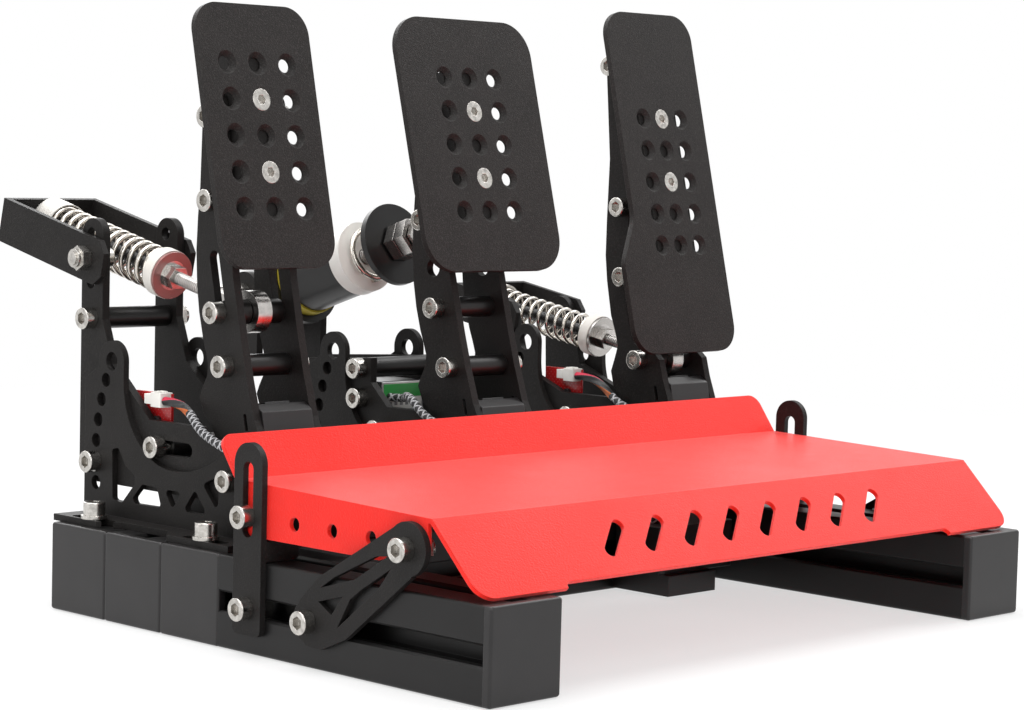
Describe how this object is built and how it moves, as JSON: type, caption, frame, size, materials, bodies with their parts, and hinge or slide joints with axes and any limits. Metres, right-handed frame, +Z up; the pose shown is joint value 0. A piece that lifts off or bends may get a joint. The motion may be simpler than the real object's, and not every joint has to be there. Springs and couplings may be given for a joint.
{
  "type": "sim racing pedal set",
  "caption": "Sim racing pedal set: clutch, load-cell brake and throttle on a slotted-profile base with a folded heel plate; pedals hinge and push sprung rods.",
  "frame": {"origin": "on the floor, at the middle of the outline seen from above", "axes": "+X to the driver's right, +Y away from the driver, +Z up"},
  "size_m": [0.3762, 0.3746, 0.2865],
  "materials": {
    "black_coat": "fine-textured black powder coat",
    "pedal_face": "fine-textured black powder coat, edges slightly worn",
    "black_anodised": "black anodised, satin",
    "black_plastic": "satin black moulded plastic",
    "heel_plate": "bright red powder coat",
    "heel_black": "fine-textured black powder coat",
    "bright_screw": "bright nickel-plated steel",
    "bright_steel": "turned steel",
    "spring_steel": "polished spring wire",
    "spacer": "black anodised",
    "cup": "white nylon",
    "nylon": "white nylon",
    "elastomer": "dull yellow elastomer",
    "disc": "black anodised",
    "cylinder": "black anodised, satin",
    "cell": "bare aluminium with a green and white label",
    "circuit_board": "red lacquered board with a white connector",
    "sleeve": "black braided sleeve"
  },
  "bodies": {
    "frame": {"cross_profile_front": "black_anodised", "cross_profile_middle": "black_anodised", "cross_profile_rear": "black_anodised", "side_profile_left": "black_anodised", "side_profile_right": "black_anodised", "end_caps": "black_plastic", "clutch_base_plate_left": "black_coat", "clutch_base_plate_right": "black_coat", "clutch_side_plates": "black_coat", "brake_base_plate_left": "black_coat", "brake_base_plate_right": "black_coat", "brake_side_plates": "black_coat", "throttle_base_plate_left": "black_coat", "throttle_base_plate_right": "black_coat", "throttle_side_plates": "black_coat", "chassis_screws": "bright_screw", "chassis_spacers": "spacer", "heel_plate": "heel_plate", "heel_brackets": "heel_black", "heel_struts": "heel_black", "base_screws": "bright_screw", "frame_bolts": "bright_screw", "controller_box": "black_plastic", "sensor_boards": "circuit_board", "sensor_leads": "sleeve", "load_cell": "cell", "brake_cylinder": "cylinder", "brake_elastomer": "elastomer", "brake_nylon_ring": "nylon"},
    "clutch_pedal": {"clutch_arms": "black_coat", "clutch_pedal_face": "pedal_face", "clutch_face_bracket": "black_coat", "clutch_pedal_screws": "bright_screw", "clutch_arm_spacers": "spacer", "clutch_magnet_cover": "black_plastic"},
    "brake_pedal": {"brake_arms": "black_coat", "brake_pedal_face": "pedal_face", "brake_face_bracket": "black_coat", "brake_pedal_screws": "bright_screw", "brake_arm_spacers": "spacer", "brake_magnet_cover": "black_plastic"},
    "throttle_pedal": {"throttle_arms": "black_coat", "throttle_pedal_face": "pedal_face", "throttle_face_bracket": "black_coat", "throttle_pedal_screws": "bright_screw", "throttle_arm_spacers": "spacer", "throttle_magnet_cover": "black_plastic"},
    "clutch_spring_seat": {"clutch_perch": "black_coat", "clutch_rear_cup": "cup", "clutch_spring": "spring_steel"},
    "clutch_rod": {"clutch_push_rod": "bright_steel", "clutch_front_cup": "cup"},
    "throttle_spring_seat": {"throttle_perch": "black_coat", "throttle_rear_cup": "cup", "throttle_spring": "spring_steel"},
    "throttle_rod": {"throttle_push_rod": "bright_steel", "throttle_front_cup": "cup"},
    "brake_rod": {"brake_push_rod": "bright_steel", "brake_spring_disc": "disc", "brake_spring": "spring_steel"}
  },
  "joints": [
    {"name": "clutch_pedal_hinge", "type": "hinge", "parent": "frame", "child": "clutch_pedal", "pos_m": [-0.1315, -0.00584, 0.068], "axis": [-1, 0, 0], "range_deg": [0, 18], "stiffness_Nm_per_rad": 9, "springref_deg": -5.73},
    {"name": "brake_pedal_hinge", "type": "hinge", "parent": "frame", "child": "brake_pedal", "pos_m": [0.0035, -0.00584, 0.068], "axis": [-1, 0, 0], "range_deg": [0, 4.5], "stiffness_Nm_per_rad": 160, "springref_deg": -1.15},
    {"name": "throttle_pedal_hinge", "type": "hinge", "parent": "frame", "child": "throttle_pedal", "pos_m": [0.1395, -0.00584, 0.068], "axis": [-1, 0, 0], "range_deg": [0, 20], "stiffness_Nm_per_rad": 4, "springref_deg": -6.88},
    {"name": "clutch_perch_hinge", "type": "hinge", "parent": "frame", "child": "clutch_spring_seat", "pos_m": [-0.1315, 0.10166, 0.16], "axis": [1, 0, 0], "range_deg": [0, 10.54]},
    {"name": "clutch_rod_slide", "type": "slide", "parent": "clutch_spring_seat", "child": "clutch_rod", "axis": [0, 0.9746, 0.224], "range_m": [0, 0.01779], "deforming": ["clutch_spring"]},
    {"name": "throttle_perch_hinge", "type": "hinge", "parent": "frame", "child": "throttle_spring_seat", "pos_m": [0.1395, 0.10166, 0.1265], "axis": [1, 0, 0], "range_deg": [0, 5.73]},
    {"name": "throttle_rod_slide", "type": "slide", "parent": "throttle_spring_seat", "child": "throttle_rod", "axis": [0, 0.9843, 0.1765], "range_m": [0, 0.01195], "deforming": ["throttle_spring"]},
    {"name": "brake_rod_slide", "type": "slide", "parent": "frame", "child": "brake_rod", "axis": [0, 0.9504, -0.3112], "range_m": [0, 0.00919], "deforming": ["brake_spring"]}
  ],
  "couplings": [
    {"joint": "clutch_perch_hinge", "follows": "clutch_pedal_hinge", "ratio": 0.58466},
    {"joint": "clutch_rod_slide", "follows": "clutch_pedal_hinge", "m_per_rad": 0.056483},
    {"joint": "throttle_perch_hinge", "follows": "throttle_pedal_hinge", "ratio": 0.28529},
    {"joint": "throttle_rod_slide", "follows": "throttle_pedal_hinge", "m_per_rad": 0.034097},
    {"joint": "brake_rod_slide", "follows": "brake_pedal_hinge", "m_per_rad": 0.11638}
  ]
}
